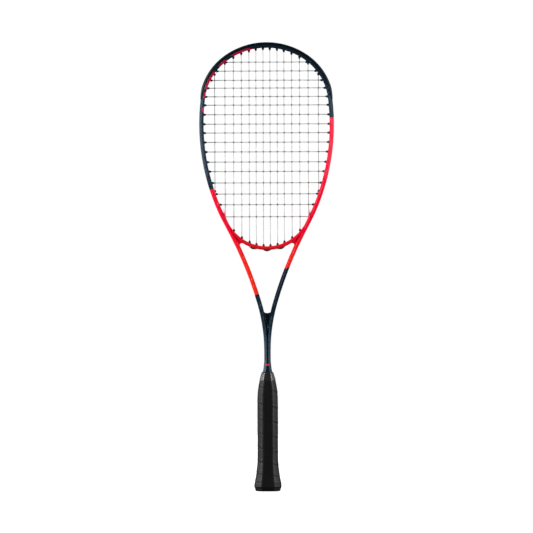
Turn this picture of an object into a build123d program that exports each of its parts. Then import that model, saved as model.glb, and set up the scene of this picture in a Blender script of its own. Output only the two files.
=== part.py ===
from build123d import *
import math
import os

os.makedirs("parts", exist_ok=True)

# ---------------------------------------------------------------- dimensions
LENGTH = 685.8            # butt face to the crown of the head guard
TUBE_W = 6.8              # tube thickness in the plane of the strings
SIDE_V = 5.2              # half depth of the outer side wall
CREST_U = 3.3             # crest distance in from the outer side
CREST_V = 9.75            # half depth of the tube at its crest
INNER_V = 6.0             # half depth of the inner side wall
GROOVE_D = 1.9            # string groove in the outer side
GROOVE_V = 3.0            # half width of the string groove
PLATE_T = 0.7             # base plate of the grommet strips
BUMPER_T = 1.9            # head guard thickness beyond the tube
CROWN_Z = LENGTH - BUMPER_T
# outer outline of the tube, crown to stem: radius, turn in degrees
ARCS = [(108.4, 36.71), (90.3, 46.16), (329.4, 20.88), (326.4, 14.67),
        (597.0, -12.22), (260.2, -16.20)]
STEM_HALF = 4.97          # half width of the stem above the handle
STEM_FLARE_Z = 199.0      # the stem starts widening here
HANDLE_IN_Z = 178.0       # full inner width reached
HANDLE_IN = (16.0, 18.0)  # tube inside the handle, width and depth
STEM_END_Z = 12.0
BR_CZ = 440.3             # centre of the bridge arcs
BR_RI = 66.3              # hoop side of the bridge
BR_RO = 72.0              # throat side of the bridge
WEB_TOP_Z = 272.0
WEB_BOT_Z = 229.0
STRING_R = 0.6
LOOP_U = 0.45             # centre of the string loops below the tube side
BORE_R = 0.95
BARREL_R = 1.55
HOLE_R = 1.6
TIP_R = 1.1              # mouth of the grommet inside the hoop
TIP_BASE_R = 2.1          # collar against the inner wall
TIP_L = 3.2
HUMP_R = 5.25             # radius of the domes under the bridge
HUMP_H = 2.1
CROSS_Y = 1.4             # depth offset of the cross string at the frame
WEAVE = 1.25              # cross string offset where it passes a main
BEND_R = 1.15
MAINS = [5.25, 16.2, 26.65, 38.4, 50.5, 63.6, 79.2]
CROSSES = [655.5, 641.9, 627.8, 615.9, 602.8, 589.9, 575.4, 560.9, 547.4,
           533.1, 518.4, 502.9, 488.4, 471.0, 454.0, 437.7, 419.2]
BUMPER_CROSSES = 5        # crosses that leave through the head guard
BUMPER_END_Z = 598.5
STRIP_END_Z = 366.0
# grip: height, full width of the finished wrap
GRIP = [(4.0, 39.6), (5.2, 40.9), (6.8, 41.8), (8.8, 42.1), (11.6, 41.1),
        (16.0, 39.1), (25.1, 35.8), (34.3, 33.8),
        (43.5, 31.8), (52.0, 31.4), (135.0, 31.4), (144.4, 31.1),
        (153.5, 29.9), (162.7, 26.9), (171.0, 23.2)]
GRIP_T = 2.0              # wrap thickness
TAPE_TOP_Z = 182.3
PALLET_TOP_Z = 176.0


def grip_depth(w):
    return 28.4 + (w - 31.4) * (0.75 if w > 31.4 else 0.45)


# ---------------------------------------------------------------- outline
def chain():
    out = []
    p = (0.0, CROWN_Z)
    h = 0.0                                   # heading, 0 = +x, clockwise +
    s = 0.0
    for r, a in ARCS:
        sg = 1.0 if a > 0 else -1.0
        nx, nz = math.sin(h), math.cos(h)     # outward normal
        c = (p[0] - sg * r * nx, p[1] - sg * r * nz)
        out.append(dict(r=r, a=a, sg=sg, c=c, p=p, h=h, s=s))
        h1 = h + math.radians(a)
        p = (c[0] + sg * r * math.sin(h1), c[1] + sg * r * math.cos(h1))
        h = h1
        s += r * abs(math.radians(a))
    return out, p, s


CH, STEM_P, S_END = chain()


def at(s, off=0.0):
    """Point at arc length s on the right half, moved outwards by off,
    and the outward normal there."""
    for k in CH:
        ln = k["r"] * abs(math.radians(k["a"]))
        if s <= k["s"] + ln or k is CH[-1]:
            h = k["h"] + k["sg"] * (s - k["s"]) / k["r"]
            n = (math.sin(h), math.cos(h))
            q = (k["c"][0] + (k["sg"] * k["r"] + off) * n[0],
                 k["c"][1] + (k["sg"] * k["r"] + off) * n[1])
            return q, n


def find(off, test):
    """Arc length where test(point) changes sign."""
    n = 1400
    prev = test(at(0.0, off)[0])
    for i in range(1, n + 1):
        s = S_END * i / n
        cur = test(at(s, off)[0])
        if (prev < 0) != (cur < 0):
            a, b = S_END * (i - 1) / n, s
            for _ in range(40):
                m = 0.5 * (a + b)
                if (test(at(m, off)[0]) < 0) == (prev < 0):
                    a = m
                else:
                    b = m
            return 0.5 * (a + b)
        prev = cur
    raise ValueError("no crossing")


def find_last(off, test):
    n = 1400
    prev = test(at(S_END, off)[0])
    for i in range(n - 1, -1, -1):
        s = S_END * i / n
        cur = test(at(s, off)[0])
        if (prev < 0) != (cur < 0):
            a, b = s, S_END * (i + 1) / n
            for _ in range(40):
                m = 0.5 * (a + b)
                if (test(at(m, off)[0]) < 0) == (prev < 0):
                    b = m
                else:
                    a = m
            return 0.5 * (a + b)
        prev = cur
    raise ValueError("no crossing")


S_BUMPER = find_last(0.0, lambda p: p[1] - BUMPER_END_Z)
S_STRIP = find_last(0.0, lambda p: p[1] - STRIP_END_Z)


def local_plane(s):
    q, n = at(s)
    return Plane(origin=(q[0], 0, q[1]), x_dir=(n[0], 0, n[1]),
                 z_dir=(-n[1], 0, n[0]))


def band(profile, s0, s1):
    """Profile (u outwards, v in depth) carried along the outline."""
    out = []
    for k in CH:
        ln = k["r"] * abs(math.radians(k["a"]))
        a, b = max(s0, k["s"]), min(s1, k["s"] + ln)
        if b - a < 1e-6:
            continue
        face = local_plane(a + 1e-9) * profile
        ax = Axis((k["c"][0], 0, k["c"][1]), (0, k["sg"], 0))
        out.append(revolve(face, axis=ax,
                           revolution_arc=math.degrees((b - a) / k["r"])))
    return out


def sym(parts):
    """Right half parts joined with their mirror image."""
    both = []
    for p in parts:
        both += [p, p.mirror(Plane.YZ)]
    return Part() + both


def poly(pts):
    return make_face(Polyline(*pts, close=True))


def half_poly(pts):
    """Polygon symmetric in v from its v >= 0 points."""
    return poly(list(pts) + [(u, -v) for u, v in reversed(pts) if v > 1e-9])


def solid_of(shape):
    ss = shape.solids()
    return max(ss, key=lambda s: s.volume)


# ---------------------------------------------------------------- frame tube
OUTER = half_poly([(0, SIDE_V), (-CREST_U, CREST_V), (-TUBE_W, INNER_V)])
OUTER = fillet(OUTER.vertices(), 0.8)
INNER = half_poly([(-3.0, 4.3), (-1.6, 5.6), (-CREST_U, 7.9), (-5.6, 5.4)])

half_space = Pos(150, 0, 400) * Box(300, 60, 800)
run = band(OUTER, 0, S_END)
pl = Plane(origin=(STEM_P[0], 0, STEM_P[1]), x_dir=(1, 0, 0),
           z_dir=(0, 0, 1))
run.append(extrude(pl * OUTER, STEM_FLARE_Z - STEM_P[1]))
right = Part() + run
right = right & half_space
outer = right + right.mirror(Plane.YZ)


def octo(w, d, b, bz=None):
    """Octagon face of width w, depth d, bevels b (x) and bz (y)."""
    bz = b if bz is None else bz
    x, y = w / 2, d / 2
    return poly([(x, -(y - bz)), (x, y - bz), (x - b, y), (-(x - b), y),
                 (-x, y - bz), (-x, -(y - bz)), (-(x - b), -y), (x - b, -y)])


core = extrude(Pos(0, 0, STEM_FLARE_Z) * octo(2 * STEM_HALF, 2 * CREST_V,
                                              3.5, CREST_V - SIDE_V),
               WEB_BOT_Z - STEM_FLARE_Z)
flare = loft([Pos(0, 0, STEM_FLARE_Z) * octo(2 * STEM_HALF, 2 * CREST_V,
                                             3.5, CREST_V - SIDE_V),
              Pos(0, 0, 188) * octo(12.2, 19.0, 3.8, 4.6),
              Pos(0, 0, HANDLE_IN_Z) * octo(HANDLE_IN[0], HANDLE_IN[1],
                                            4.5, 4.5)], ruled=True)
grip_tube = extrude(Pos(0, 0, STEM_END_Z) * octo(HANDLE_IN[0], HANDLE_IN[1],
                                                 4.5, 4.5),
                    HANDLE_IN_Z - STEM_END_Z)
outer = outer + core + flare + grip_tube

hollow = band(INNER, 0, S_END)
pl2 = Plane(origin=(STEM_P[0], 0, STEM_P[1]), x_dir=(1, 0, 0),
            z_dir=(0, 0, 1))
hollow.append(extrude(pl2 * INNER, STEM_FLARE_Z - 4 - STEM_P[1]))
hr = (Part() + hollow) & half_space
cavity = hr + hr.mirror(Plane.YZ)
cavity = cavity + loft([Pos(0, 0, STEM_FLARE_Z) * octo(6.6, 16.2, 1.8, 3.4),
                        Pos(0, 0, 188) * octo(9.4, 16.2, 2.6, 3.6),
                        Pos(0, 0, HANDLE_IN_Z) * octo(13.2, 15.2, 3.7, 3.7)],
                       ruled=True)
cavity = cavity + extrude(Pos(0, 0, 0) * octo(13.2, 15.2, 3.7, 3.7),
                          HANDLE_IN_Z)
groove = sym(band(half_poly([(1.0, GROOVE_V), (-GROOVE_D, GROOVE_V)]),
                  0, S_STRIP))


# ---------------------------------------------------------------- string ends
def tube_end(kind, val, side, last=False):
    """Where a string leaves the bed: mouth, direction, groove point, y."""
    off = -TUBE_W
    f = find_last if last else find
    if kind == "main":
        s = f(off, lambda p: p[0] - val)
        y = 0.0
        d = (0.0, 1.0) if last else (0.0, -1.0)
    else:
        s = f(off, lambda p: p[1] - val)
        y = CROSS_Y
        d = (-side, 0.0)
    q, n = at(s, off)
    g, _ = at(s, -LOOP_U)
    return dict(m=(side * q[0], y, q[1]), n=(side * n[0], 0.0, n[1]),
                g=(side * g[0], y, g[1]), s=s, side=side, d=d, lead=0.35)


def bridge_end(x):
    """Ends of the mains that reach the bottom arc of the hoop."""
    side = 1 if x > 0 else -1
    ax = abs(x)
    z = BR_CZ - math.sqrt(BR_RI ** 2 - ax * ax)
    n = (ax / BR_RI, (z - BR_CZ) / BR_RI)
    if ax < 30:
        n = (0.0, -1.0)
        g = (ax, BR_CZ - math.sqrt((BR_RO + 0.9) ** 2 - ax * ax))
        s = None
    else:
        a, b = 5.0, 60.0                       # ray to the groove curve
        def side_of(t):
            p = (ax + n[0] * t, z + n[1] * t)
            best = min((math.hypot(p[0] - at(u, -LOOP_U)[0][0],
                                   p[1] - at(u, -LOOP_U)[0][1]), u)
                       for u in [S_END * i / 500 for i in range(500)])
            u = best[1]
            lo, hi = max(0, u - 2), u + 2
            for _ in range(30):
                m1, m2 = lo + (hi - lo) / 3, hi - (hi - lo) / 3
                d1 = math.hypot(p[0] - at(m1, -LOOP_U)[0][0],
                                p[1] - at(m1, -LOOP_U)[0][1])
                d2 = math.hypot(p[0] - at(m2, -LOOP_U)[0][0],
                                p[1] - at(m2, -LOOP_U)[0][1])
                if d1 < d2:
                    hi = m2
                else:
                    lo = m1
            u = 0.5 * (lo + hi)
            q, nn = at(u, -LOOP_U)
            return ((p[0] - q[0]) * nn[0] + (p[1] - q[1]) * nn[1]), u
        for _ in range(30):
            m = 0.5 * (a + b)
            if side_of(m)[0] < 0:
                a = m
            else:
                b = m
        t = 0.5 * (a + b)
        s = side_of(t)[1]
        g = (ax + n[0] * t, z + n[1] * t)
    return dict(m=(side * ax, 0.0, z), n=(side * n[0], 0.0, n[1]),
                g=(side * g[0], 0.0, g[1]), s=s, side=side, d=(0.0, 1.0),
                lead=0.8 if ax < 30 else 0.35)


MX = sorted([-x for x in MAINS] + MAINS)
top_ends = [tube_end("main", abs(x), 1 if x > 0 else -1) for x in MX]
bot_ends = []
for x in MX:
    if abs(x) < 60:
        bot_ends.append(bridge_end(x))
    else:
        bot_ends.append(tube_end("main", abs(x), 1 if x > 0 else -1, True))
cross_ends = []
for i, z in enumerate(CROSSES):
    cross_ends.append([tube_end("cross", z, -1, True),
                       tube_end("cross", z, 1, True)])


def barrel(e, r, t0, t1):
    """Cylinder on the axis of a string end, from the mouth outwards."""
    mx, my, mz = e["m"]
    nx, _, nz = e["n"]
    p = Plane(origin=(mx + nx * t0, my, mz + nz * t0), z_dir=(nx, 0, nz),
              x_dir=(0, 1, 0))
    return extrude(p * Circle(r), t1 - t0)


def on_string(e, t):
    mx, my, mz = e["m"]
    dx, dz = e["d"]
    return Plane(origin=(mx + dx * t, my, mz + dz * t), z_dir=(dx, 0, dz),
                 x_dir=(0, 1, 0))


def tip(e):
    """Cone along the string, from just under the wall to the mouth."""
    grow = (TIP_BASE_R - TIP_R) / TIP_L * e["lead"]
    return on_string(e, -e["lead"]) * Cone(
        TIP_BASE_R + grow, TIP_R, TIP_L + e["lead"],
        align=(Align.CENTER, Align.CENTER, Align.MIN))


def passage(e, r, t1):
    """Room for the string where it leaves the wall."""
    return extrude(on_string(e, -0.25) * Circle(r), t1 + 0.25)


def reach(e):
    return math.hypot(e["g"][0] - e["m"][0], e["g"][2] - e["m"][2])


bumper_ends = top_ends + [e for c in cross_ends[:BUMPER_CROSSES] for e in c]
side_ends = {1: [], -1: []}
for c in cross_ends[BUMPER_CROSSES:]:
    for e in c:
        side_ends[e["side"]].append(e)
for x, e in zip(MX, bot_ends):
    if abs(x) > 30:
        side_ends[e["side"]].append(e)
bridge_ends = [e for x, e in zip(MX, bot_ends) if abs(x) < 30]
all_ends = bumper_ends + side_ends[1] + side_ends[-1] + bridge_ends

frame_tube = outer - cavity
frame_tube = frame_tube - groove
frame_tube = frame_tube - [barrel(e, HOLE_R, -1.2, reach(e) + 3)
                           for e in bumper_ends + side_ends[1]
                           + side_ends[-1]]
frame_tube = frame_tube - [passage(e, 0.85, 3.6)
                           for e in bumper_ends + side_ends[1]
                           + side_ends[-1]]
frame_tube = solid_of(frame_tube)
export_step(frame_tube, "parts/frame_tube.step")
print("frame", frame_tube.volume, frame_tube.is_valid)

# ---------------------------------------------------------------- bridge, web
xi, zi = 66.0, BR_CZ - math.sqrt(BR_RI ** 2 - 66.0 ** 2)
xo = 36.6
zo = BR_CZ - math.sqrt(BR_RO ** 2 - xo ** 2)
with BuildSketch(Plane.XZ) as br:            # local y is +z of the racket
    with BuildLine():
        a1 = ThreePointArc((-xi, zi), (0, BR_CZ - BR_RI), (xi, zi))
        l1 = Line((xi, zi), (66, 400))
        l2 = Line((66, 400), (52, 372))
        l3 = Line((52, 372), (41.3, 374.0))
        a2 = ThreePointArc((41.3, 374.0), (40.0, 378.3), (xo, zo))
        a3 = ThreePointArc((xo, zo), (0, BR_CZ - BR_RO), (-xo, zo))
        a4 = ThreePointArc((-xo, zo), (-40.0, 378.3), (-41.3, 374.0))
        l4 = Line((-41.3, 374.0), (-52, 372))
        l5 = Line((-52, 372), (-66, 400))
        l6 = Line((-66, 400), (-xi, zi))
    make_face()
slab = extrude(br.sketch, 9.2, both=True)
rim = make_face(Polyline((BR_RI, 0), (BR_RI, 6.2), (69.2, 9.0),
                         (BR_RO, 6.6), (100, 6.6), (100, -6.6),
                         (BR_RO, -6.6), (69.2, -9.0), (BR_RI, -6.2),
                         close=True))
rim = Plane(origin=(0, 0, BR_CZ), x_dir=(1, 0, 0), z_dir=(0, 0, 1)) * rim
rim = revolve(rim, axis=Axis((0, 0, BR_CZ), (0, 1, 0)), revolution_arc=180)
bridge = slab & rim
bridge = bridge - outer
bridge = max(bridge.solids(), key=lambda s: s.volume)
b_groove = revolve(Plane(origin=(0, 0, BR_CZ), x_dir=(1, 0, 0),
                         z_dir=(0, 0, 1))
                   * poly([(BR_RO - 0.8, 3.05), (BR_RO + 1, 3.05),
                           (BR_RO + 1, -3.05), (BR_RO - 0.8, -3.05)]),
                   axis=Axis((0, 0, BR_CZ), (0, 1, 0)), revolution_arc=50.0)
b_groove = b_groove.rotate(Axis((0, 0, BR_CZ), (0, 1, 0)), 65.0)
bridge_core = revolve(Plane(origin=(0, 0, BR_CZ), x_dir=(1, 0, 0),
                            z_dir=(0, 0, 1))
                      * poly([(BR_RI + 1.2, 5.6), (69.2, 7.4),
                              (BR_RO - 1.6, 5.4), (BR_RO - 1.6, -5.4),
                              (69.2, -7.4), (BR_RI + 1.2, -5.6)]),
                      axis=Axis((0, 0, BR_CZ), (0, 1, 0)),
                      revolution_arc=56.0)
bridge_core = bridge_core.rotate(Axis((0, 0, BR_CZ), (0, 1, 0)), 62.0)
near = bridge_ends + [e for e in side_ends[1] + side_ends[-1]
                      if e["m"][2] < 440]
cuts = [barrel(e, HOLE_R, -1.2, reach(e) + 3) for e in near]
cuts += [passage(e, 0.85, 7.0) for e in near]
bridge_env = bridge
throat_bridge = bridge - bridge_core - b_groove - cuts
throat_bridge = solid_of(throat_bridge)
bridge_core = solid_of(bridge_core - cuts)
export_step(throat_bridge, "parts/throat_bridge.step")
export_step(bridge_core, "parts/bridge_core.step")
print("bridge", throat_bridge.volume, throat_bridge.is_valid,
      bridge_core.volume, bridge_core.is_valid)

web = Pos(0, 0, (WEB_TOP_Z + 8 + WEB_BOT_Z) / 2) * Box(
    18, 8.4, WEB_TOP_Z + 8 - WEB_BOT_Z)
scoop = Pos(0, 0, WEB_TOP_Z + 9.0) * Rot(90, 0, 0) * Cylinder(9.0, 20)
web = web - scoop
web = web - (Pos(0, 0, WEB_TOP_Z + 20 + 4.0) * Box(30, 30, 40))
web = web - outer
shaft_web = solid_of(web)
export_step(shaft_web, "parts/shaft_web.step")
print("web", shaft_web.volume, shaft_web.is_valid,
      shaft_web.bounding_box())


# ---------------------------------------------------------------- grommets
def along(g1, g2, r):
    """Cylinder between two points of the groove, a little longer."""
    a, b = Vector(*g1), Vector(*g2)
    d = (b - a).normalized()
    p = Plane(origin=a - d * 1.5, z_dir=d, x_dir=(0, 1, 0))
    return extrude(p * Circle(r), (b - a).length + 3.0)


def bores(ends):
    out = [barrel(e, BORE_R, -0.5, reach(e) + 2.5) for e in ends]
    out += [passage(e, BORE_R - 0.15, TIP_L + 0.6) for e in ends]
    low = [e for e in ends if 30 < abs(e["m"][0]) < 60
           and e["m"][2] < 425]
    if len(low) == 2:
        out.append(along(low[0]["g"], low[1]["g"], 0.8))
    for e in ends:                           # slanting exits at the shafts
        if 30 < abs(e["m"][0]) < 60 and e["m"][2] < 425:
            out.append(barrel(e, 1.3, reach(e) - 1.6, reach(e) + 2.5))
    return out


def barrels(ends, plate_u):
    return [barrel(e, BARREL_R, -e["lead"], reach(e) - (plate_u - LOOP_U))
            for e in ends]


def tips(ends, *walls):
    """The cones, cut off where they would enter the walls."""
    out = Part() + [tip(e) for e in ends]
    for w in walls:
        out = out - w
    return out


bump_prof = half_poly([(-GROOVE_D, GROOVE_V), (0.0, GROOVE_V),
                       (0.0, SIDE_V), (-1.3, SIDE_V + 1.3 * (CREST_V - SIDE_V)
                                       / CREST_U),
                       (-0.75, 7.9), (1.1, 6.3), (BUMPER_T, 4.9),
                       (BUMPER_T, 3.1), (1.4, 2.4), (-GROOVE_D + PLATE_T,
                                                     2.4)])
bump = sym(band(bump_prof, 0, S_BUMPER))


def circle3(a, b, c):
    """Centre and radius of the circle through three points."""
    d = 2 * (a[0] * (b[1] - c[1]) + b[0] * (c[1] - a[1])
             + c[0] * (a[1] - b[1]))
    a2, b2, c2 = (p[0] ** 2 + p[1] ** 2 for p in (a, b, c))
    x = (a2 * (b[1] - c[1]) + b2 * (c[1] - a[1]) + c2 * (a[1] - b[1])) / d
    z = (a2 * (c[0] - b[0]) + b2 * (a[0] - c[0]) + c2 * (b[0] - a[0])) / d
    return (x, z), math.hypot(a[0] - x, a[1] - z)


# the guard thins out over its last 20 mm on each side
t_a = at(S_BUMPER - 20, BUMPER_T)[0]
t_m = at(S_BUMPER - 10, 1.2)[0]
t_b = at(S_BUMPER + 0.5, 0.15)[0]
t_c, t_r = circle3(t_a, t_m, t_b)
thin = Pos(105, 0, t_a[1] - 15) * Box(50, 40, 30)
thin = thin - (Pos(t_c[0], 0, t_c[1]) * Rot(90, 0, 0) * Cylinder(t_r, 60))
bump = bump - thin - thin.mirror(Plane.YZ)
bump = bump + barrels(bumper_ends, GROOVE_D - PLATE_T / 2)
bump = bump + tips(bumper_ends, outer)
bump = bump - bores(bumper_ends)
bumper_guard = solid_of(bump)
export_step(bumper_guard, "parts/bumper_guard.step")
print("bumper", bumper_guard.volume, bumper_guard.is_valid)

plate = half_poly([(-GROOVE_D, GROOVE_V), (-GROOVE_D + PLATE_T, GROOVE_V)])
for side, name in ((1, "right"), (-1, "left")):
    segs = band(plate, S_BUMPER + 0.4, S_STRIP - 0.4)
    if side < 0:
        segs = [p.mirror(Plane.YZ) for p in segs]
    st = Part() + segs
    st = st + barrels(side_ends[side], GROOVE_D - PLATE_T / 2)
    st = st + tips(side_ends[side], outer, bridge_env)
    st = solid_of(st - bores(side_ends[side]))
    export_step(st, "parts/grommet_strip_%s.step" % name)
    print("strip", name, st.volume, st.is_valid, len(st.solids()))

bp = Plane(origin=(0, 0, BR_CZ), x_dir=(1, 0, 0), z_dir=(0, 0, 1))
b_ax = Axis((0, 0, BR_CZ), (0, 1, 0))
b_strip = revolve(bp * poly([(BR_RO - 0.8, 3.0), (BR_RO, 3.0),
                             (BR_RO, -3.0), (BR_RO - 0.8, -3.0)]),
                  axis=b_ax, revolution_arc=49.4).rotate(b_ax, 65.3)
under = Pos(0, 0, BR_CZ) * Rot(90, 0, 0) * Cylinder(BR_RO - 0.05, 40)
for a0 in (-17.6, 0.0, 17.6):
    hump = Pos(0, 0, BR_CZ - (BR_RO + HUMP_H - HUMP_R)) * Rot(90, 0, 0) \
        * Cylinder(HUMP_R, 5.2)
    hump = hump.rotate(Axis((0, 0, BR_CZ), (0, 1, 0)), a0) - under
    slot = Pos(0, 0, BR_CZ - BR_RO - 5.0) * Box(14, 1.6, 10.0)
    hump = hump - slot.rotate(Axis((0, 0, BR_CZ), (0, 1, 0)), a0)
    b_strip = b_strip + hump
b_strip = b_strip + barrels(bridge_ends, 0.4 + 0.9 + LOOP_U)
b_strip = b_strip + tips(bridge_ends, outer, bridge_env)
b_strip = solid_of(b_strip - bores(bridge_ends))
export_step(b_strip, "parts/grommet_strip_bridge.step")
print("bridge strip", b_strip.volume, b_strip.is_valid,
      b_strip.bounding_box())


# ---------------------------------------------------------------- strings
def rounded_wire(pts, radii):
    edges = []
    cur = Vector(*pts[0])
    for i in range(1, len(pts) - 1):
        v = Vector(*pts[i])
        d1 = (v - Vector(*pts[i - 1])).normalized()
        d2 = (Vector(*pts[i + 1]) - v).normalized()
        c = max(-1.0, min(1.0, d1.dot(d2)))
        th = math.acos(c)
        if th < 1e-4:
            continue
        t = radii[i] * math.tan(th / 2)
        p1, p2 = v - d1 * t, v + d2 * t
        bis = (d2 - d1).normalized()
        m = v + bis * (radii[i] / math.cos(th / 2) - radii[i])
        edges.append(Edge.make_line(cur, p1))
        edges.append(Edge.make_three_point_arc(p1, m, p2))
        cur = p2
    edges.append(Edge.make_line(cur, Vector(*pts[-1])))
    return Wire(edges)


def swept(pts, radii):
    w = rounded_wire(pts, radii)
    d = (Vector(*pts[1]) - Vector(*pts[0])).normalized()
    pr = Plane(origin=Vector(*pts[0]), z_dir=d) * Circle(STRING_R)
    return sweep(pr, path=w)


def groove_run(e1, e2, y):
    """Points between two exits, following the groove floor."""
    s1, s2 = e1["s"] * e1["side"], e2["s"] * e2["side"]
    n = max(1, math.ceil(abs(s2 - s1) / 6.0))
    out = []
    for i in range(1, n):
        s = s1 + (s2 - s1) * i / n
        q, _ = at(abs(s), -LOOP_U)
        out.append(((q[0] if s > 0 else -q[0]), y, q[1]))
    return out


pts = []
top_tail = top_ends[0]
q, _ = at(top_tail["s"] + 9, -LOOP_U)
pts.append((-q[0], 0.0, q[1]))
n = len(MX)
for i in range(n):
    t, b = top_ends[i], bot_ends[i]
    if i % 2 == 0:
        pts += [t["g"], t["m"], b["m"], b["g"]]
        if i + 1 < n:
            nb = bot_ends[i + 1]
            if b["s"] is not None:
                pts += groove_run(b, nb, 0.0)
            else:
                pass
    else:
        pts += [b["g"], b["m"], t["m"], t["g"]]
        if i + 1 < n:
            pts += groove_run(t, top_ends[i + 1], 0.0)
q, _ = at(top_ends[-1]["s"] + 9, -LOOP_U)
pts.append((q[0], 0.0, q[1]))
main_string = swept(pts, [BEND_R] * len(pts))
print("mains", main_string.volume, main_string.is_valid,
      len(main_string.solids()))
export_step(solid_of(main_string), "parts/main_string.step")



def mouth(e):
    return (e["m"][0] + e["d"][0] * (TIP_L + 0.2), e["m"][1],
            e["m"][2] + e["d"][1] * (TIP_L + 0.2))


pts, rad = [], []
first = cross_ends[0][0]
q, _ = at(first["s"] - 7, -LOOP_U)
pts.append((-q[0], CROSS_Y, q[1]))
rad.append(BEND_R)
for i, z in enumerate(CROSSES):
    l, r = cross_ends[i]
    a, b = (l, r) if i % 2 == 0 else (r, l)
    pts += [a["g"], a["m"], mouth(a)]
    rad += [BEND_R] * 3
    edge = abs(l["m"][0]) - TIP_L
    inside = [(k, x) for k, x in enumerate(MX) if abs(x) < edge - 0.2]
    if i % 2 == 1:
        inside = inside[::-1]
    d = 1 if i % 2 == 0 else -1
    for k, x in inside:
        y = WEAVE if (k + i) % 2 == 0 else -WEAVE
        if abs(x) > edge - 3.6:               # beside its own grommet
            pts.append((math.copysign(abs(x) - 1.3, x), CROSS_Y, z))
            rad.append(2.0)
            continue
        pts += [(x - d * 0.9, y, z), (x + d * 0.9, y, z)]
        rad += [2.0, 2.0]
    pts += [mouth(b), b["m"], b["g"]]
    rad += [BEND_R] * 3
    if i + 1 < len(CROSSES):
        nb = cross_ends[i + 1][1 if i % 2 == 0 else 0]
        more = groove_run(b, nb, CROSS_Y)
        pts += more
        rad += [BEND_R] * len(more)
last = cross_ends[-1][1]
q, _ = at(last["s"] + 8, -LOOP_U)
pts.append((q[0], CROSS_Y, q[1]))
rad.append(BEND_R)
cross_string = swept(pts, rad)
print("crosses", cross_string.volume, cross_string.is_valid,
      len(cross_string.solids()))
export_step(solid_of(cross_string), "parts/cross_string.step")

# ---------------------------------------------------------------- handle


def grip_face(z, w, inset=0.0, r=2.6):
    d = grip_depth(w)
    w2, d2 = w - 2 * inset, d - 2 * inset
    b = 0.264 * w2
    f = octo(w2, d2, b, 0.27 * d2)
    return Pos(0, 0, z) * fillet(f.vertices(), r)


def grip_loft(rows, inset, r=2.6):
    return loft([grip_face(z, w, inset, r) for z, w in rows], ruled=True)


wrap_out = grip_loft(GRIP, 0.0)
core_rows = [(2.0, 31.4), (135.0, 31.4), (144.4, 31.1), (153.5, 29.9),
             (162.7, 26.9), (171.0, 23.2), (PALLET_TOP_Z, 20.9)]
pallet_body = grip_loft(core_rows, GRIP_T, 2.0)
pallet_body = pallet_body - (Pos(0, 0, 0) * Box(60, 60, 2 * STEM_END_Z))
pallets = pallet_body - outer
for name, sy in (("front", -1), ("back", 1)):
    half = pallets & (Pos(0, sy * 20, 100) * Box(60, 40, 200))
    half = solid_of(half)
    export_step(half, "parts/pallet_%s.step" % name)
    print("pallet", name, half.volume, half.is_valid)

cap_rows = [(4.0, 39.6), (5.2, 40.9), (6.8, 41.8), (8.8, 42.1), (11.6, 41.1),
        (16.0, 39.1), (25.1, 35.8),
            (34.3, 33.8), (43.5, 32.6)]
cap_out = grip_loft(cap_rows, GRIP_T)
d_c = grip_depth(39.2)
foot = extrude(fillet(octo(39.2, d_c - 0.2, 10.4, 9.2).vertices(), 3.0), 4.0)
foot = fillet(foot.edges().group_by(Axis.Z)[0], 3.3)
cap = cap_out + foot
cap_in = grip_loft([(STEM_END_Z, 31.4), (60.0, 31.4)], GRIP_T, 2.0)
cap = cap - cap_in
cap = cap - (Pos(0, 0, 8.0) * Box(21, 19, 8.0))
butt_cap = solid_of(cap)
print("cap", butt_cap.volume, butt_cap.is_valid, butt_cap.bounding_box())

plug = extrude(Pos(0, 0, STEM_END_Z) * octo(13.1, 15.1, 3.7, 3.7), 14.0)
plug = plug + extrude(Pos(0, 0, STEM_END_Z - 1.5)
                      * octo(16.0, 18.0, 4.5, 4.5), 1.5)
stem_plug = solid_of(plug)
export_step(stem_plug, "parts/stem_plug.step")


dep = grip_depth(33.8) / 2 - GRIP_T          # cap surface near z = 34
staples = []
for sy in (-1, 1):
    y_face = sy * dep
    b = Pos(0, y_face + sy * 0.0, 34.3) * Box(8.0, 0.9, 0.9)
    lg = [Pos(x, y_face - sy * 2.0, 34.3) * Box(0.9, 4.0, 0.9)
          for x in (-3.55, 3.55)]
    staples.append(solid_of(Part() + [b] + lg))
staple_set = Compound(children=staples)
export_step(staple_set, "parts/butt_cap_staples.step")
butt_cap = solid_of(Part() + [butt_cap] - staples)
export_step(butt_cap, "parts/butt_cap.step")
for name, sy in (("front", -1), ("back", 1)):
    half = pallets & (Pos(0, sy * 20, 100) * Box(60, 40, 200))
    half = solid_of(Part() + [solid_of(half)] - staples)
    export_step(half, "parts/pallet_%s.step" % name)

wrap = wrap_out - cap_out - pallet_body
wrap = wrap - staples
wrap = solid_of(wrap)
export_step(wrap, "parts/grip_wrap.step")
print("wrap", wrap.volume, wrap.is_valid)

tape_rows = [(169.2, 24.4), (171.0, 23.6), (181.1, 18.0),
             (TAPE_TOP_Z, 16.6)]
tape = grip_loft(tape_rows, 0.0, 2.2)
tape = tape - pallet_body - outer - wrap_out
finishing_tape = solid_of(tape)
export_step(finishing_tape, "parts/finishing_tape.step")
print("tape", finishing_tape.volume, finishing_tape.is_valid,
      finishing_tape.bounding_box())
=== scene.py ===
import math

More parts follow.
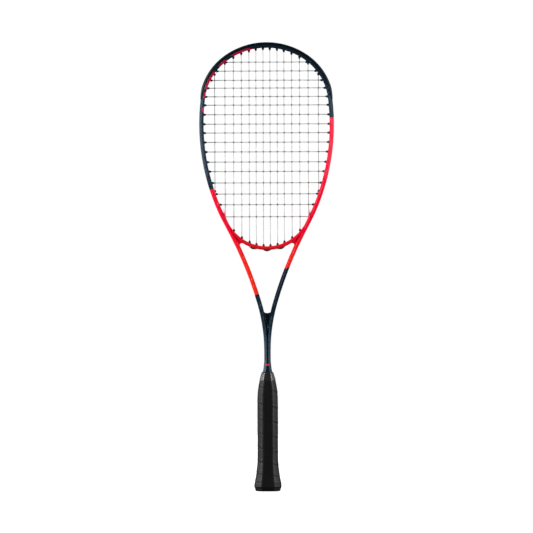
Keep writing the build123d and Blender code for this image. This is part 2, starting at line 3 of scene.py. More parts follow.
import bpy
import numpy as np
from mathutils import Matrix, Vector


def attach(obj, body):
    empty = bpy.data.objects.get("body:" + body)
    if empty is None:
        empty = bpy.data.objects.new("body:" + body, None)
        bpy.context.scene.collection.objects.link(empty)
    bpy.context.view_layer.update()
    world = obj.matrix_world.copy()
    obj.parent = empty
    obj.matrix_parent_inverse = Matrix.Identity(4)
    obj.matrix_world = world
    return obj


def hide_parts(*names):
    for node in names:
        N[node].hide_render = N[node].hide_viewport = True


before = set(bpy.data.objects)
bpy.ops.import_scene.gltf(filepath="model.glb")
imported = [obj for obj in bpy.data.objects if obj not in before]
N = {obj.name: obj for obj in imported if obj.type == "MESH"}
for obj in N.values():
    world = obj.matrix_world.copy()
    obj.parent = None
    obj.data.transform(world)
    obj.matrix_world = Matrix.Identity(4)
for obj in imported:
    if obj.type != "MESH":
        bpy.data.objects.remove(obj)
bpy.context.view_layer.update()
MM = 0.001

# ------------------------------------------------------------ same numbers as the CAD
CROWN_Z = 683.9
TUBE_W = 6.8
ARCS = [(108.4, 36.71), (90.3, 46.16), (329.4, 20.88), (326.4, 14.67),
        (597.0, -12.22), (260.2, -16.20)]
BR_CZ, BR_RI, BR_RO = 440.3, 66.3, 72.0
STRING_R, LOOP_U, TIP_L, BEND_R = 0.6, 0.45, 3.2, 1.15
CROSS_Y, WEAVE = 1.4, 1.25
MAINS = [5.25, 16.2, 26.65, 38.4, 50.5, 63.6, 79.2]
CROSSES = [655.5, 641.9, 627.8, 615.9, 602.8, 589.9, 575.4, 560.9, 547.4,
           533.1, 518.4, 502.9, 488.4, 471.0, 454.0, 437.7, 419.2]
GRIP = [(4.0, 39.6), (5.2, 40.9), (6.8, 41.8), (8.8, 42.1), (11.6, 41.1),
        (16.0, 39.1), (25.1, 35.8), (34.3, 33.8),
        (43.5, 31.8), (52.0, 31.4), (135.0, 31.4), (144.4, 31.1),
        (153.5, 29.9), (162.7, 26.9), (171.0, 23.2)]


def chain():
    out, p, h, s = [], (0.0, CROWN_Z), 0.0, 0.0
    for r, a in ARCS:
        sg = 1.0 if a > 0 else -1.0
        nx, nz = math.sin(h), math.cos(h)
        c = (p[0] - sg * r * nx, p[1] - sg * r * nz)
        out.append(dict(r=r, a=a, sg=sg, c=c, h=h, s=s))
        h += math.radians(a)
        p = (c[0] + sg * r * math.sin(h), c[1] + sg * r * math.cos(h))
        s += r * abs(math.radians(a))
    return out, s


CH, S_END = chain()


def at(s, off=0.0):
    for k in CH:
        ln = k["r"] * abs(math.radians(k["a"]))
        if s <= k["s"] + ln or k is CH[-1]:
            h = k["h"] + k["sg"] * (s - k["s"]) / k["r"]
            n = (math.sin(h), math.cos(h))
            return ((k["c"][0] + (k["sg"] * k["r"] + off) * n[0],
                     k["c"][1] + (k["sg"] * k["r"] + off) * n[1]), n)


def find(off, test, last=False):
    n = 1400
    rng = range(n, 0, -1) if last else range(1, n + 1)
    for i in rng:
        a, b = S_END * (i - 1) / n, S_END * i / n
        ta, tb = test(at(a, off)[0]), test(at(b, off)[0])
        if (ta < 0) != (tb < 0):
            for _ in range(40):
                m = 0.5 * (a + b)
                if (test(at(m, off)[0]) < 0) == (ta < 0):
                    a = m
                else:
                    b = m
            return 0.5 * (a + b)
    raise ValueError("no crossing")


def tube_end(kind, val, side, last=False):
    off = -TUBE_W
    if kind == "main":
        s = find(off, lambda p: p[0] - val, last)
        y = 0.0
        d = (0.0, 1.0) if last else (0.0, -1.0)
    else:
        s = find(off, lambda p: p[1] - val, last)
        y = CROSS_Y
        d = (-side, 0.0)
    q, n = at(s, off)
    g, _ = at(s, -LOOP_U)
    return dict(m=(side * q[0], y, q[1]), n=(side * n[0], 0.0, n[1]),
                g=(side * g[0], y, g[1]), s=s, side=side, d=d)


def bridge_end(x):
    side, ax, rm = (1 if x > 0 else -1), abs(x), BR_RI
    z = BR_CZ - math.sqrt(rm * rm - ax * ax)
    n = (ax / rm, (z - BR_CZ) / rm)
    if ax < 30:
        n, s = (0.0, -1.0), None
        g = (ax, BR_CZ - math.sqrt((BR_RO + 0.9) ** 2 - ax * ax))
    else:
        us = np.linspace(0, S_END, 6001)
        line = np.array([at(u, -LOOP_U)[0] for u in us])
        d = np.abs((line[:, 0] - ax) * n[1] - (line[:, 1] - z) * n[0])
        d[((line[:, 0] - ax) * n[0] + (line[:, 1] - z) * n[1]) < 0] = 1e9
        i = int(d.argmin())
        s, g = float(us[i]), (float(line[i, 0]), float(line[i, 1]))
    return dict(m=(side * ax, 0.0, z), n=(side * n[0], 0.0, n[1]),
                g=(side * g[0], 0.0, g[1]), s=s, side=side, d=(0.0, 1.0))


MX = sorted([-x for x in MAINS] + MAINS)
top_ends = [tube_end("main", abs(x), 1 if x > 0 else -1) for x in MX]
bot_ends = [bridge_end(x) if abs(x) < 60
            else tube_end("main", abs(x), 1 if x > 0 else -1, True)
            for x in MX]
cross_ends = [[tube_end("cross", z, -1, True), tube_end("cross", z, 1, True)]
              for z in CROSSES]


def groove_run(e1, e2, y):
    s1, s2 = e1["s"] * e1["side"], e2["s"] * e2["side"]
    n = max(1, math.ceil(abs(s2 - s1) / 6.0))
    out = []
    for i in range(1, n):
        s = s1 + (s2 - s1) * i / n
        q, _ = at(abs(s), -LOOP_U)
        out.append(((q[0] if s > 0 else -q[0]), y, q[1]))
    return out


def main_path():
    q, _ = at(top_ends[0]["s"] + 9, -LOOP_U)
    pts, n = [(-q[0], 0.0, q[1])], len(MX)
    for i in range(n):
        t, b = top_ends[i], bot_ends[i]
        if i % 2 == 0:
            pts += [t["g"], t["m"], b["m"], b["g"]]
            if b["s"] is not None and i + 1 < n:
                pts += groove_run(b, bot_ends[i + 1], 0.0)
        else:
            pts += [b["g"], b["m"], t["m"], t["g"]]
            if i + 1 < n:
                pts += groove_run(t, top_ends[i + 1], 0.0)
    q, _ = at(top_ends[-1]["s"] + 9, -LOOP_U)
    pts.append((q[0], 0.0, q[1]))
    return pts, [BEND_R] * len(pts)


def mouth(e):
    return (e["m"][0] + e["d"][0] * (TIP_L + 0.2), e["m"][1],
            e["m"][2] + e["d"][1] * (TIP_L + 0.2))


def cross_path():
    q, _ = at(cross_ends[0][0]["s"] - 7, -LOOP_U)
    pts, rad = [(-q[0], CROSS_Y, q[1])], [BEND_R]
    for i, z in enumerate(CROSSES):
        l, r = cross_ends[i]
        a, b = (l, r) if i % 2 == 0 else (r, l)
        pts += [a["g"], a["m"], mouth(a)]
        rad += [BEND_R] * 3
        edge = abs(l["m"][0]) - TIP_L
        inside = [(k, x) for k, x in enumerate(MX) if abs(x) < edge - 0.2]
        if i % 2 == 1:
            inside = inside[::-1]
        d = 1 if i % 2 == 0 else -1
        for k, x in inside:
            y = WEAVE if (k + i) % 2 == 0 else -WEAVE
            if abs(x) > edge - 3.6:
                pts.append((math.copysign(abs(x) - 1.3, x), CROSS_Y, z))
                rad.append(2.0)
                continue
            pts += [(x - d * 0.9, y, z), (x + d * 0.9, y, z)]
            rad += [2.0, 2.0]
        pts += [mouth(b), b["m"], b["g"]]
        rad += [BEND_R] * 3
        if i + 1 < len(CROSSES):
            more = groove_run(b, cross_ends[i + 1][1 if i % 2 == 0 else 0],
                              CROSS_Y)
            pts += more
            rad += [BEND_R] * len(more)
    q, _ = at(cross_ends[-1][1]["s"] + 8, -LOOP_U)
    pts.append((q[0], CROSS_Y, q[1]))
    rad.append(BEND_R)
    return pts, rad


def rounded(pts, rad, step=4.0, arc=5):
    """Corner points replaced by arcs, long runs divided."""
    pts = [np.array(p, float) for p in pts]
    out = [pts[0]]

    def run(a, b):
        n = max(1, int(np.linalg.norm(b - a) / step))
        for i in range(1, n + 1):
            out.append(a + (b - a) * i / n)
    cur = pts[0]
    for i in range(1, len(pts) - 1):
        v = pts[i]
        d1 = (v - pts[i - 1]) / np.linalg.norm(v - pts[i - 1])
        d2 = (pts[i + 1] - v) / np.linalg.norm(pts[i + 1] - v)
        th = math.acos(max(-1, min(1, float(d1 @ d2))))
        if th < 1e-4:
            continue
        t = rad[i] * math.tan(th / 2)
        p1, p2 = v - d1 * t, v + d2 * t
        bis = (d2 - d1) / np.linalg.norm(d2 - d1)
        c = v + bis * rad[i] / math.cos(th / 2)
        run(cur, p1)
        n = max(2, int(arc * th / 1.0) + 1)
        a0, a1 = p1 - c, p2 - c
        for k in range(1, n + 1):
            f = k / n
            w = (math.sin((1 - f) * th) * a0 + math.sin(f * th) * a1) \
                / math.sin(th)
            out.append(c + w)
        cur = p2
    run(cur, pts[-1])
    return np.array(out)


# ------------------------------------------------------------ meshes
def new_mesh(name, verts, faces, smooth=True, sharp=None):
    me = bpy.data.meshes.new(name)
    me.from_pydata([tuple(v) for v in verts], [], faces)
    me.update()
    me.validate()
    if smooth:
        me.polygons.foreach_set("use_smooth", [True] * len(me.polygons))
    if sharp:
        me.set_sharp_from_angle(angle=math.radians(sharp))
    ob = bpy.data.objects.new(name, me)
    bpy.context.scene.collection.objects.link(ob)
    return ob


def tube(name, path, r, sides=10):
    """Round tube along a path, parallel-transported, capped."""
    p = path
    n = len(p)
    tan = np.gradient(p, axis=0)
    tan /= np.linalg.norm(tan, axis=1)[:, None]
    up = np.array([0.0, 1.0, 0.0])
    if abs(tan[0] @ up) > 0.9:
        up = np.array([1.0, 0, 0])
    nrm = np.zeros_like(p)
    nrm[0] = up - tan[0] * (up @ tan[0])
    nrm[0] /= np.linalg.norm(nrm[0])
    for i in range(1, n):
        v = nrm[i - 1] - tan[i] * (nrm[i - 1] @ tan[i])
        nrm[i] = v / np.linalg.norm(v)
    bi = np.cross(tan, nrm)
    ang = np.linspace(0, 2 * math.pi, sides, endpoint=False)
    ring = (p[:, None, :] + r * (np.cos(ang)[None, :, None] * nrm[:, None, :]
                                 + np.sin(ang)[None, :, None]
                                 * bi[:, None, :]))
    verts = ring.reshape(-1, 3) * MM
    faces = []
    for i in range(n - 1):
        a, b = i * sides, (i + 1) * sides
        for j in range(sides):
            k = (j + 1) % sides
            faces.append((a + j, a + k, b + k, b + j))
    faces.append(tuple(range(sides - 1, -1, -1)))
    faces.append(tuple((n - 1) * sides + j for j in range(sides)))
    ob = new_mesh(name, verts, faces)
    ob["rings"] = n
    return ob


def shade_attr(ob, values, name="crossing_shade"):
    at_ = ob.data.attributes.new(name, "FLOAT", "POINT")
    at_.data.foreach_set("value", np.asarray(values, np.float32))


def octagon(w, d, r=8.0, n_arc=9, n_flat=11):
    """Rounded octagon outline, anticlockwise from the left bevel's middle
    seen from the butt upwards; returns points and outward normals."""
    x, y, b, c = w / 2, d / 2, 0.25 * w, 0.27 * d
    corner = [(-(x - b), -y), (x - b, -y), (x, -(y - c)), (x, y - c),
              (x - b, y), (-(x - b), y), (-x, y - c), (-x, -(y - c))]
    m = len(corner)
    pts = []
    for i in range(m):
        p0, p1, p2 = (np.array(corner[(i + k) % m]) for k in (-1, 0, 1))
        d1 = (p1 - p0) / np.linalg.norm(p1 - p0)
        d2 = (p2 - p1) / np.linalg.norm(p2 - p1)
        th = math.acos(float(np.clip(d1 @ d2, -1, 1)))
        rr = min(r, 0.49 * min(np.linalg.norm(p1 - p0),
                               np.linalg.norm(p2 - p1)) / math.tan(th / 2))
        t = rr * math.tan(th / 2)
        bis = (d2 - d1) / np.linalg.norm(d2 - d1)
        cc = p1 + bis * rr / math.cos(th / 2)
        a0, a1 = p1 - d1 * t - cc, p1 + d2 * t - cc
        for k in range(n_arc):
            f = k / (n_arc - 1)
            pts.append(cc + (math.sin((1 - f) * th) * a0
                             + math.sin(f * th) * a1) / math.sin(th))
        e = p1 + d2 * t
        q = np.array(corner[(i + 1) % m])
        p3 = np.array(corner[(i + 2) % m])
        d3 = (p3 - q) / np.linalg.norm(p3 - q)
        th2 = math.acos(float(np.clip(d2 @ d3, -1, 1)))
        rr2 = min(r, 0.49 * min(np.linalg.norm(q - p1),
                                np.linalg.norm(p3 - q)) / math.tan(th2 / 2))
        f_end = q - d2 * rr2 * math.tan(th2 / 2)
        for k in range(1, n_flat):
            pts.append(e + (f_end - e) * k / n_flat)
    pts = np.array(pts)
    tg = np.roll(pts, -1, 0) - np.roll(pts, 1, 0)
    tg /= np.linalg.norm(tg, axis=1)[:, None]
    return pts, np.stack([tg[:, 1], -tg[:, 0]], 1)


def grip_width(z):
    zs, ws = zip(*GRIP)
    # smooth the table a little, as tape bridges its corners
    return float(np.mean([np.interp(z + k, zs, ws)
                          for k in (-3, -1.5, 0, 1.5, 3)])) \
        if 8 < z < 166 else float(np.interp(z, zs, ws))


def grip_depth(w):
    return 28.4 + (w - 31.4) * (0.75 if w > 31.4 else 0.45)


SEAMS = [-9.0, 3.0, 13.7, 25.9, 44.7, 65.3, 87.8, 110.3, 133.5, 158.9, 181.0]


def make_grip():
    zs = np.arange(3.9, 171.2, 0.42)
    n_seam = np.arange(len(SEAMS), dtype=float)
    ring0, _ = octagon(31.4, 28.4)
    m = len(ring0)
    # turn angle round the handle measured by arc length from the left bevel
    seg = np.linalg.norm(np.roll(ring0, -1, 0) - ring0, axis=1)
    arc = np.concatenate([[0], np.cumsum(seg)[:-1]]) / seg.sum()
    left = np.argmin(np.hypot(ring0[:, 0] + 11.6, ring0[:, 1] + 10.6))
    phi = (arc - arc[left]) % 1.0
    phi[phi > 0.5 + 0.25] -= 1.0
    verts = []
    rng = np.random.RandomState(5)
    wob = rng.rand(16) * 6.28
    marks = []
    for z in zs:
        w = grip_width(z)
        pts, nr = octagon(w, grip_depth(w))
        t = np.interp(z, SEAMS, n_seam)
        pitch = float(np.interp(z, [SEAMS[i] for i in range(len(SEAMS))],
                                np.gradient(np.array(SEAMS))))
        wv = t + phi + 0.012 * np.sin(6.28 * 3 * phi + wob[0] + t * 1.7)
        fr = wv - np.floor(wv)
        dz = np.where(fr > 0.5, fr - 1.0, fr) * pitch      # mm from the seam
        soft = np.exp(-(dz / 1.15) ** 2)
        lip = np.where(dz > 0, np.exp(-dz / 2.0), 0) * (1 - soft)
        low = np.where(dz < 0, np.exp(dz / 3.0), 0) * (1 - soft)
        strength = 0.75 + 0.25 * math.sin(z * 0.37 + 1.0)
        broad = np.clip((np.abs(nr[:, 1]) - 0.80) / 0.18, 0, 1)
        soft = soft * (1 - 0.62 * broad)
        h = -0.28 * soft * strength + 0.52 * lip * (1 - 0.6 * broad) \
            - 0.05 * low
        # faint stretch ripples along the strip
        h += 0.05 * np.sin(6.28 * (phi * 9 + fr * 1.5) + wob[1]) \
            * np.exp(-np.abs(dz) / 6.0)
        h += 0.03 * np.sin(z * 0.8 + 6.28 * 2 * phi + wob[2])
        fade = min(1.0, (z - 3.9) / 3.0) * min(1.0, (171.4 - z) / 2.0 + 0.2)
        h = h * fade - 0.0
        p = pts + nr * h[:, None]
        if z < 6.6:                               # turned edge at the butt
            p = p * (1 - 0.004 * (6.6 - z))
        verts += [(a * MM, b * MM, z * MM) for a, b in p]
        # the groove strength is also kept per vertex and darkens the grip colour
        # along the seams: painted shade in the seam grooves
        marks += list(soft)
    rows = len(zs)
    faces = []
    for i in range(rows - 1):
        for j in range(m):
            k = (j + 1) % m
            faces.append((i * m + j, i * m + k, (i + 1) * m + k,
                          (i + 1) * m + j))
    # inner skirt so the ends read as thick tape
    for end, z, ins in ((0, zs[0] - 0.05, 1.9), (rows - 1, zs[-1] + 0.05,
                                                1.7)):
        w = grip_width(z)
        pts, nr = octagon(w - 2 * ins, grip_depth(w) - 2 * ins)
        base = len(verts)
        verts += [(a * MM, b * MM, z * MM) for a, b in pts]
        # the end skirts get a fixed 0.3 of the same painted seam shade
        marks += [0.3] * m
        for j in range(m):
            k = (j + 1) % m
            a, b = end * m + j, end * m + k
            if end == 0:
                faces.append((b, a, base + j, base + k))
            else:
                faces.append((a, b, base + k, base + j))
    ob = new_mesh("grip_tape_wound", verts, faces)
    shade_attr(ob, marks, "seam")
    return ob


def sleeve(name, rows, r=4.0, wob=0.0):
    verts, faces = [], []
    m = None
    for i, (z, w, d) in enumerate(rows):
        pts, nr = octagon(w, d, r)
        m = len(pts)
        if wob:
            a = np.arange(m) / m * 6.28
            pts = pts + nr * (wob * np.sin(a * 5 + z * 0.9)
                              * np.sin(z * 1.3))[:, None]
        verts += [(x * MM, y * MM, z * MM) for x, y in pts]
    for i in range(len(rows) - 1):
        for j in range(m):
            k = (j + 1) % m
            faces.append((i * m + j, i * m + k, (i + 1) * m + k,
                          (i + 1) * m + j))
    return new_mesh(name, verts, faces, sharp=50)


# ------------------------------------------------------------ materials
def lin(h):
    c = [int(h[i:i + 2], 16) / 255 for i in (0, 2, 4)]
    return tuple(x / 12.92 if x <= 0.04045 else ((x + 0.055) / 1.055) ** 2.4
                 for x in c) + (1.0,)


class Tree:
    def __init__(self, name):
        self.m = bpy.data.materials.new(name)
        self.m.use_nodes = True
        self.t = self.m.node_tree
        self.t.nodes.clear()
        self.out = self.t.nodes.new("ShaderNodeOutputMaterial")
        self.p = self.t.nodes.new("ShaderNodeBsdfPrincipled")
        self.t.links.new(self.p.outputs[0], self.out.inputs[0])
        tc = self.t.nodes.new("ShaderNodeTexCoord")
        self.obj = tc.outputs["Object"]
        sx = self.t.nodes.new("ShaderNodeSeparateXYZ")
        self.t.links.new(self.obj, sx.inputs[0])
        self.x, self.y, self.z = sx.outputs

    def node(self, kind, **kw):
        n = self.t.nodes.new(kind)
        for k, v in kw.items():
            setattr(n, k, v)
        return n

    def put(self, sock, v):
        if isinstance(v, bpy.types.NodeSocket):
            self.t.links.new(v, sock)
        else:
            sock.default_value = v

    def math(self, op, a, b=0.0, c=0.0, clamp=False):
        n = self.node("ShaderNodeMath", operation=op, use_clamp=clamp)
        for s, v in zip(n.inputs, (a, b, c)):
            self.put(s, v)
        return n.outputs[0]

    def step(self, v, a, b):
        """0 at a, 1 at b, smooth."""
        n = self.node("ShaderNodeMapRange", interpolation_type="SMOOTHSTEP")
        for s, q in zip(n.inputs[:5], (v, a, b, 0.0, 1.0)):
            self.put(s, q)
        return n.outputs[0]

    def mix(self, f, a, b):
        n = self.node("ShaderNodeMix", data_type="RGBA")
        self.put(n.inputs[0], f)
        self.put(n.inputs[6], a)
        self.put(n.inputs[7], b)
        return n.outputs[2]

    def noise(self, scale, detail=3.0, rough=0.55, vec=None, stretch=None):
        v = vec or self.obj
        if stretch:
            mp = self.node("ShaderNodeMapping")
            self.put(mp.inputs[0], v)
            mp.inputs[3].default_value = stretch
            v = mp.outputs[0]
        n = self.node("ShaderNodeTexNoise")
        self.put(n.inputs["Vector"], v)
        n.inputs["Scale"].default_value = scale
        n.inputs["Detail"].default_value = detail
        n.inputs["Roughness"].default_value = rough
        return n.outputs[0]

    def bump(self, h, dist, strength=1.0, normal=None):
        n = self.node("ShaderNodeBump")
        n.inputs["Strength"].default_value = strength
        n.inputs["Distance"].default_value = dist
        self.put(n.inputs["Height"], h)
        if normal is not None:
            self.put(n.inputs["Normal"], normal)
        return n.outputs[0]

    def set(self, **kw):
        for k, v in kw.items():
            self.put(self.p.inputs[k.replace("_", " ")], v)
        return self.m


def paint():
    t = Tree("frame_lacquer")
    ax = t.math("ABSOLUTE", t.x)
    # place across the tube: distance from the arc centres of the hoop
    us = []
    for k in CH[:3]:
        cx, cz = k["c"][0] * MM, k["c"][1] * MM
        dx = t.math("SUBTRACT", ax, cx)
        dz = t.math("SUBTRACT", t.z, cz)
        d = t.math("SQRT", t.math("ADD", t.math("MULTIPLY", dx, dx),
                                  t.math("MULTIPLY", dz, dz)))
        us.append(t.math("SUBTRACT", d, k["r"] * MM))
    hi = t.step(t.z, 0.6615, 0.6625)
    lo = t.step(t.z, 0.6025, 0.6035)
    u = t.math("ADD", t.math("MULTIPLY", us[0], hi),
               t.math("MULTIPLY", us[1], t.math("SUBTRACT", 1.0, hi)))
    u = t.math("ADD", t.math("MULTIPLY", u, lo),
               t.math("MULTIPLY", us[2], t.math("SUBTRACT", 1.0, lo)))
    inner = t.step(u, -0.0034, -0.0037)
    seg = None
    for a, b in ((0.6648, 0.6762), (0.6500, 0.6586), (0.6140, 0.6406),
                 (0.6017, 0.6099), (0.5790, 0.5862)):
        s = t.math("MULTIPLY", t.step(t.z, a - 0.0004, a + 0.0004),
                   t.step(t.z, b + 0.0004, b - 0.0004))
        seg = s if seg is None else t.math("MAXIMUM", seg, s)
    stripe = t.math("MULTIPLY", t.math("MULTIPLY", inner, seg),
                    t.step(t.x, -0.0205, -0.0212))
    # red lacquer zone on each side, with slightly slanting ends
    zl_hi = t.math("ADD", t.z, t.math("MULTIPLY", t.math(
        "ADD", t.x, 0.086), -0.28))
    zr_hi = t.z
    zl_lo = t.math("ADD", t.z, t.math("MULTIPLY", t.math(
        "ADD", t.x, 0.0165), -0.30))
    zr_lo = t.math("ADD", t.z, t.math("MULTIPLY", t.math(
        "SUBTRACT", t.x, 0.0305), -0.35))
    e = 0.00035
    left = t.math("MULTIPLY", t.step(zl_lo, 0.3003 - e, 0.3003 + e),
                  t.step(zl_hi, 0.4608 + e, 0.4608 - e))
    right = t.math("MULTIPLY", t.step(zr_lo, 0.3410 - e, 0.3410 + e),
                   t.step(zr_hi, 0.5703 + e, 0.5703 - e))
    side = t.step(t.x, -0.0001, 0.0001)
    red_zone = t.math("ADD", t.math("MULTIPLY", right, side),
                      t.math("MULTIPLY", left,
                             t.math("SUBTRACT", 1.0, side)))
    # plain accent bar low on the stem
    bar = t.math("MULTIPLY", t.math("MULTIPLY", t.step(t.z, 0.1915, 0.1919),
                                    t.step(t.z, 0.1949, 0.1945)),
                 t.math("MULTIPLY", t.step(ax, 0.0025, 0.0022),
                        t.step(t.y, -0.0082, -0.0086)))
    fine = t.noise(900, 4, 0.6)
    cloud = t.noise(26, 2, 0.5)
    navy = t.mix(cloud, lin("091923"), lin("0F222F"))
    navy = t.mix(t.math("MULTIPLY", fine, 0.30), navy, lin("183040"))
    grade = t.step(t.z, 0.405, 0.335)
    red = t.mix(grade, lin("FF0034"), lin("FF2E10"))
    red = t.mix(t.math("MULTIPLY", fine, 0.14), red, lin("FF2A26"))
    col = t.mix(red_zone, navy, red)
    col = t.mix(stripe, col, t.mix(fine, lin("BE0E38"), lin("CC1440")))
    col = t.mix(bar, col, lin("E8321E"))
    rough = t.math("ADD", 0.15, t.math("MULTIPLY", cloud, 0.06))
    peel = t.noise(420, 2, 0.5)
    n = t.bump(peel, 0.00002, 0.15)
    return t.set(Base_Color=col, Roughness=rough, Normal=n, Metallic=0.0,
                 Coat_Weight=0.05, Coat_Roughness=0.10,
                 Specular_IOR_Level=0.36, Specular_Tint=(0.34, 0.64, 1.0, 1))


def web_paint():
    t = Tree("web_lacquer")
    fine = t.noise(700, 3, 0.6)
    col = t.mix(fine, lin("101318"), lin("1B2028"))
    n = t.bump(t.noise(380, 3), 0.00004, 0.4)
    return t.set(Base_Color=col, Roughness=t.math(
        "ADD", 0.38, t.math("MULTIPLY", fine, 0.12)), Normal=n,
        Coat_Weight=0.2, Coat_Roughness=0.25)


def nylon(name="guard_nylon", a="050607", b="101216"):
    t = Tree(name)
    grain = t.noise(1500, 5, 0.65)
    scuff = t.noise(60, 4, 0.7, stretch=(1, 3, 1))
    col = t.mix(t.step(scuff, 0.45, 0.8), lin(a), lin(b))
    n = t.bump(grain, 0.00008, 0.45)
    return t.set(Base_Color=col, Roughness=t.math(
        "ADD", 0.40, t.math("MULTIPLY", scuff, 0.2)), Normal=n,
        Specular_IOR_Level=0.32)


def string_mat():
    t = Tree("string_multifilament")
    at_ = t.node("ShaderNodeAttribute", attribute_name="crossing_shade")
    fil = t.noise(2600, 3, 0.6, stretch=(1, 1, 0.15))
    col = t.mix(fil, lin("BEC0C3"), lin("D4D6D9"))
    # darkens each string towards near-black round the crossings: painted shade where
    # the strings cross and shadow each other
    col = t.mix(at_.outputs["Fac"], col, lin("0E0F10"))
    n = t.bump(fil, 0.00005, 0.4)
    return t.set(Base_Color=col, Roughness=t.math(
        "ADD", 0.28, t.math("MULTIPLY", fil, 0.1)), Normal=n,
        Coat_Weight=0.3, Coat_Roughness=0.2)


def grip_mat():
    t = Tree("grip_polyurethane")
    at_ = t.node("ShaderNodeAttribute", attribute_name="seam")
    v = t.node("ShaderNodeTexVoronoi", feature="F1")
    t.put(v.inputs["Vector"], t.obj)
    v.inputs["Scale"].default_value = 1250
    pores = t.step(v.outputs[0], 0.10, 0.55)
    leather = t.noise(420, 5, 0.62)
    cloud = t.noise(35, 3, 0.6)
    col = t.mix(cloud, lin("0B0B0B"), lin("111112"))
    col = t.mix(t.math("MULTIPLY", leather, 0.30), col, lin("18181A"))
    # darker along the seam grooves from the seam attribute: painted shade in the
    # grooves between the wraps
    col = t.mix(t.math("MULTIPLY", at_.outputs["Fac"], 0.25), col,
                lin("040404"))
    h = t.math("ADD", t.math("MULTIPLY", pores, 0.35), leather)
    n = t.bump(h, 0.00012, 0.55)
    return t.set(Base_Color=col, Roughness=t.math(
        "ADD", 0.40, t.math("MULTIPLY", cloud, 0.12)), Normal=n,
        Sheen_Weight=0.02, Specular_IOR_Level=0.24)


def tape_mat():
    t = Tree("finishing_stretch_tape")
    w = t.node("ShaderNodeTexWave", wave_type="BANDS",
               bands_direction="Z")
    t.put(w.inputs["Vector"], t.obj)
    w.inputs["Scale"].default_value = 180
    w.inputs["Distortion"].default_value = 1.4
    w.inputs["Detail"].default_value = 2.0
    grain = t.noise(1100, 4, 0.6)
    col = t.mix(grain, lin("18181A"), lin("262628"))
    h = t.math("ADD", t.math("MULTIPLY", w.outputs[1], 0.3), grain)
    n = t.bump(h, 0.00007, 0.5)
    return t.set(Base_Color=col, Roughness=t.math(
        "ADD", 0.28, t.math("MULTIPLY", grain, 0.10)), Normal=n,
        Coat_Weight=0.4, Coat_Roughness=0.24)


def cap_mat():
    t = Tree("butt_cap_plastic")
    grain = t.noise(1300, 4, 0.6)
    r = t.math("SQRT", t.math("ADD", t.math("MULTIPLY", t.x, t.x),
                              t.math("MULTIPLY", t.y, t.y)))
    rings = t.math("SINE", t.math("MULTIPLY", r, 4200.0))
    face = t.step(t.z, 0.0009, 0.0003)
    col = t.mix(grain, lin("08080A"), lin("111113"))
    h = t.math("ADD", grain, t.math("MULTIPLY", t.math(
        "MULTIPLY", rings, face), 0.5))
    n = t.bump(h, 0.00008, 0.5)
    return t.set(Base_Color=col, Roughness=t.math(
        "ADD", 0.40, t.math("MULTIPLY", grain, 0.12)), Normal=n,
        Specular_IOR_Level=0.2)


def plain(name, a, b, rough):
    t = Tree(name)
    g = t.noise(500, 4, 0.6)
    col = t.mix(g, lin(a), lin(b))
    n = t.bump(g, 0.00015, 0.5)
    return t.set(Base_Color=col, Roughness=t.math(
        "ADD", rough, t.math("MULTIPLY", g, 0.1)), Normal=n)


def steel():
    t = Tree("staple_wire")
    g = t.noise(900, 3, 0.6, stretch=(0.1, 1, 1))
    col = t.mix(g, lin("A8A8AA"), lin("D0D0D2"))
    return t.set(Base_Color=col, Metallic=1.0, Roughness=t.math(
        "ADD", 0.25, t.math("MULTIPLY", g, 0.15)))


def dress(ob, mat):
    ob.data.materials.clear()
    ob.data.materials.append(mat)
    for p in ob.data.polygons:
        p.material_index = 0


P, BLACK, STR = paint(), nylon(), string_mat()
GRIPM, TAPE, CAP = grip_mat(), tape_mat(), cap_mat()
FOAM = plain("handle_foam", "D2C8AE", "E4DCC6", 0.7)
for node, mat in (("frame_tube", P), ("throat_bridge", P),
                  ("shaft_web", web_paint()), ("bumper_guard", BLACK),
                  ("grommet_strip_left", BLACK),
                  ("grommet_strip_right", BLACK),
                  ("grommet_strip_bridge", BLACK), ("butt_cap", CAP),
                  ("bridge_core", FOAM), ("pallet_front", FOAM),
                  ("pallet_back", FOAM), ("butt_cap_staples", steel()),
                  ("stem_plug", plain("plug_plastic", "1A1A1C", "26262A",
                                      0.5))):
    ob = N[node]
    dress(ob, mat)
    ob.data.polygons.foreach_set("use_smooth", [True] * len(ob.data.polygons))
    ob.data.set_sharp_from_angle(angle=math.radians(26))

# ------------------------------------------------------------ strings
mp, mr = main_path()
cp, cr = cross_path()
mpath = rounded(mp, mr, 1.2)
cpath = rounded(cp, cr, 1.2)
grid = np.array([(x, z) for x in MX for z in CROSSES])


# strength of the painted crossing shade: 1 at each main and cross crossing, falling
# off within about 1.7 mm
def crossing_shade_of(path, sides):
    d = np.full(len(path), 1e9)
    for x, z in grid:
        d = np.minimum(d, np.hypot(path[:, 0] - x, path[:, 2] - z))
    v = np.exp(-(d / 1.7) ** 4)
    return np.repeat(v, sides)


mains = tube("string_mains", mpath, STRING_R, 10)
shade_attr(mains, crossing_shade_of(mpath, 10))
crosses = tube("string_crosses", cpath, STRING_R, 10)
shade_attr(crosses, crossing_shade_of(cpath, 10))
for ob, node in ((mains, "main_string"), (crosses, "cross_string")):
    dress(ob, STR)
    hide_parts(node)
    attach(ob, "root")

# ------------------------------------------------------------ handle
grip = make_grip()
dress(grip, GRIPM)
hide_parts("grip_wrap")
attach(grip, "root")

rows = []
for z, w, d in ((168.4, 23.6, 24.1), (168.5, 24.75, 25.5),
                (168.8, 24.95, 25.7), (171.0, 23.95, 25.1),
                (174.0, 22.35, 24.2), (177.0, 20.55, 23.2),
                (179.5, 19.05, 22.4), (181.0, 17.9, 21.7),
                (181.8, 16.8, 21.0), (182.2, 15.4, 19.9),
                (182.3, 13.4, 18.6)):
    rows.append((z, w, d))
tape = sleeve("finishing_band", rows, 4.2, 0.05)
dress(tape, TAPE)
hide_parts("finishing_tape")
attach(tape, "root")

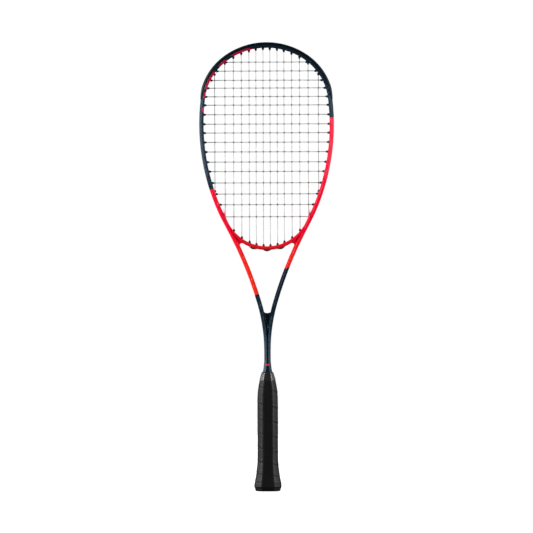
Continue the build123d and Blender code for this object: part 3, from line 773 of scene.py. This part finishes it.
# ------------------------------------------------------------ stage
floor = new_mesh("floor", [(-3.5, -1.3, -0.0004), (3.5, -1.3, -0.0004),
                           (3.5, 2.3, -0.0004), (-3.5, 2.3, -0.0004)],
                 [(0, 1, 2, 3)], smooth=False)
ft = Tree("floor_paper")
fcol = ft.mix(ft.noise(3, 2), (0.86, 0.86, 0.86, 1), (0.88, 0.88, 0.88, 1))
ft.set(Base_Color=fcol, Roughness=0.9, Emission_Color=(1, 1, 1, 1),
       Emission_Strength=0.70)
dim = ft.node("ShaderNodeBsdfDiffuse")
dim.inputs[0].default_value = (0.10, 0.10, 0.10, 1)
fmix, flp = ft.node("ShaderNodeMixShader"), ft.node("ShaderNodeLightPath")
ft.put(fmix.inputs[0], flp.outputs["Is Camera Ray"])
ft.put(fmix.inputs[1], dim.outputs[0])
ft.put(fmix.inputs[2], ft.p.outputs[0])
ft.put(ft.out.inputs[0], fmix.outputs[0])
floor.data.materials.append(ft.m)

world = bpy.data.worlds.new("studio")
bpy.context.scene.world = world
world.use_nodes = True
wt = world.node_tree
wt.nodes.clear()
wo = wt.nodes.new("ShaderNodeOutputWorld")
b1 = wt.nodes.new("ShaderNodeBackground")
b1.inputs[0].default_value = (1, 1, 1, 1)
b1.inputs[1].default_value = 1.0
b2 = wt.nodes.new("ShaderNodeBackground")
b2.inputs[0].default_value = (0.93, 0.96, 1.0, 1)
b2.inputs[1].default_value = 0.07
lp = wt.nodes.new("ShaderNodeLightPath")
mx = wt.nodes.new("ShaderNodeMixShader")
wt.links.new(lp.outputs["Is Camera Ray"], mx.inputs[0])
wt.links.new(b2.outputs[0], mx.inputs[1])
wt.links.new(b1.outputs[0], mx.inputs[2])
wt.links.new(mx.outputs[0], wo.inputs[0])


def area(name, loc, target, size, energy, color=(1, 1, 1)):
    li = bpy.data.lights.new(name, "AREA")
    li.shape = "RECTANGLE"
    li.size, li.size_y = size
    li.energy = energy
    li.color = color
    ob = bpy.data.objects.new(name, li)
    ob.location = loc
    d = Vector(target) - Vector(loc)
    ob.rotation_euler = d.to_track_quat("-Z", "Y").to_euler()
    bpy.context.scene.collection.objects.link(ob)
    return ob


area("key_left", (-2.1, -0.9, 0.75), (0, 0, 0.4), (0.6, 1.8), 60)
area("key_right", (2.1, -0.9, 0.55), (0, 0, 0.35), (0.6, 1.6), 50)
area("side_left", (-2.1, 0.25, 0.4), (0, 0, 0.36), (0.8, 2.2), 20)
area("side_right", (2.1, 0.3, 0.4), (0, 0, 0.36), (0.8, 2.2), 8)
area("back", (0.2, 2.3, 0.9), (0, 0, 0.35), (1.6, 1.2), 14)

cam_d = bpy.data.cameras.new("camera")
cam_d.lens = 300.0
cam_d.sensor_width = 36.0
cam_d.dof.use_dof = False
cam_d.clip_start, cam_d.clip_end = 0.05, 30
cam = bpy.data.objects.new("camera", cam_d)
cam.location = (-0.00099, -6.789, 0.3431)
cam.rotation_mode = "XYZ"
cam.rotation_euler = (math.radians(90), math.radians(0.217), 0)
bpy.context.scene.collection.objects.link(cam)
bpy.context.scene.camera = cam
bpy.context.scene.view_settings.view_transform = "Standard"
